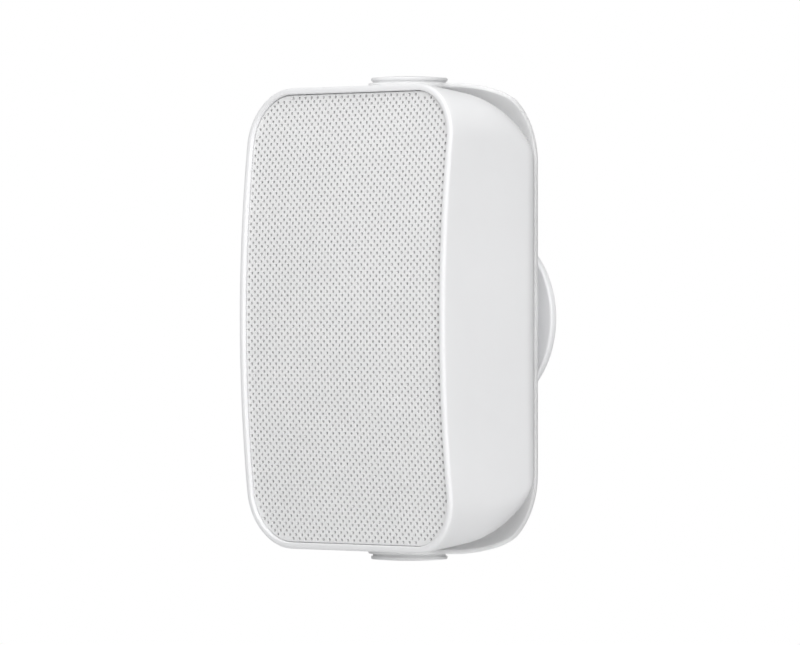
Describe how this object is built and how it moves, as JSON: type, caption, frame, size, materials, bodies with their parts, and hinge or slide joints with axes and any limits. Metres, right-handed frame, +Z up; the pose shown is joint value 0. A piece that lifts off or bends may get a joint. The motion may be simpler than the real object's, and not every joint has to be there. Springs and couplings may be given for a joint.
{
  "type": "surface-mount speaker",
  "caption": "Two-way weather-proof loudspeaker with a bowed perforated grille, held at top and bottom by a C-shaped bracket that swivels and turns on a round wall plate.",
  "frame": {"origin": "centre of the wall plate's back face, on the wall", "axes": "+Y points into the wall (the grille faces -Y), +Z is up along the cabinet, +X is to the right seen from the front"},
  "size_m": [0.194, 0.142, 0.3194],
  "materials": {
    "cabinet_white": "moulded weather-proof plastic, satin, very fine texture",
    "cap_white": "moulded plastic, satin",
    "bracket_white": "satin powder coat",
    "plate_white": "satin powder coat",
    "grille_white": "satin powder coat on perforated sheet",
    "scrim_grey": "thin open cloth",
    "black_plastic": "moulded plastic, matt",
    "black_gloss": "moulded plastic, semi-gloss",
    "red_plastic": "moulded plastic, semi-gloss",
    "black_rubber": "closed-cell rubber",
    "surround_rubber": "butyl rubber",
    "black_steel": "black coated steel",
    "steel": "zinc plated",
    "brass": "turned brass",
    "copper": "enamelled copper winding",
    "ferrite": "sintered ferrite",
    "cone": "filled polypropylene",
    "dome_silk": "coated silk",
    "spider_cloth": "impregnated cotton",
    "tag_board": "phenolic board with tinned tags",
    "board_green": "coated fibreglass board",
    "film_yellow": "film capacitor wrap",
    "ceramic": "ceramic case",
    "wadding": "polyester fibre",
    "lead_pvc": "stranded lead with soft jacket"
  },
  "bodies": {
    "wall": {"wall_plate": "plate_white", "bracket_washer": "steel", "bracket_bolt": "steel"},
    "bracket": {"bracket": "bracket_white", "pivot_cap_top": "cap_white", "pivot_cap_bottom": "cap_white"},
    "cone": {"woofer_cone": "cone", "woofer_dust_cap": "cone", "woofer_voice_coil": "copper", "woofer_surround": "surround_rubber", "woofer_spider": "spider_cloth"},
    "plunger_red": {"terminal_plunger_red": "red_plastic"},
    "plunger_black": {"terminal_plunger_black": "black_gloss"},
    "cabinet": {"cabinet": "cabinet_white", "pivot_insert_top": "brass", "pivot_insert_bottom": "brass", "pivot_bolt_top": "steel", "pivot_bolt_bottom": "steel", "pivot_washer_top": "black_rubber", "pivot_washer_bottom": "black_rubber", "grille": "grille_white", "grille_scrim": "scrim_grey", "baffle": "black_plastic", "baffle_gasket": "black_rubber", "baffle_screws": "black_steel", "woofer_frame": "black_steel", "woofer_gasket": "black_rubber", "woofer_screws": "black_steel", "woofer_top_plate": "steel", "woofer_magnet": "ferrite", "woofer_back_plate": "steel", "woofer_tag_strip": "tag_board", "tweeter_faceplate": "black_plastic", "tweeter_screws": "black_steel", "tweeter_dome": "dome_silk", "tweeter_top_plate": "steel", "tweeter_magnet": "ferrite", "tweeter_yoke": "steel", "terminal_cup": "black_plastic", "terminal_gasket": "black_rubber", "terminal_screws": "steel", "terminal_nuts": "brass", "terminal_post_red": "brass", "terminal_post_black": "brass", "terminal_collar_red": "red_plastic", "terminal_collar_black": "black_gloss", "terminal_spring_red": "steel", "terminal_spring_black": "steel", "crossover_board": "board_green", "crossover_coil_large": "copper", "crossover_coil_small": "copper", "crossover_capacitor_large": "film_yellow", "crossover_capacitor_small": "film_yellow", "crossover_resistor": "ceramic", "damping_pad": "wadding", "woofer_lead": "lead_pvc", "tweeter_lead": "lead_pvc"}
  },
  "joints": [
    {"name": "bracket_turn", "type": "hinge", "parent": "wall", "child": "bracket", "pos_m": [0, 0, 0], "axis": [0, 1, 0], "range_deg": [-90, 90]},
    {"name": "cabinet_swivel", "type": "hinge", "parent": "bracket", "child": "cabinet", "pos_m": [0, -0.078, 0], "axis": [0, 0, 1], "range_deg": [-15, 15]},
    {"name": "woofer_travel", "type": "slide", "parent": "cabinet", "child": "cone", "axis": [0, -1, 0], "range_m": [-0.003, 0.003], "stiffness_N_per_m": 1300, "deforming": ["woofer_surround", "woofer_spider"]},
    {"name": "red_plunger_press", "type": "slide", "parent": "cabinet", "child": "plunger_red", "axis": [0, -1, 0], "range_m": [0, 0.003], "stiffness_N_per_m": 900, "springref_m": -0.0015, "deforming": ["terminal_spring_red"]},
    {"name": "black_plunger_press", "type": "slide", "parent": "cabinet", "child": "plunger_black", "axis": [0, -1, 0], "range_m": [0, 0.003], "stiffness_N_per_m": 900, "springref_m": -0.0015, "deforming": ["terminal_spring_black"]}
  ]
}
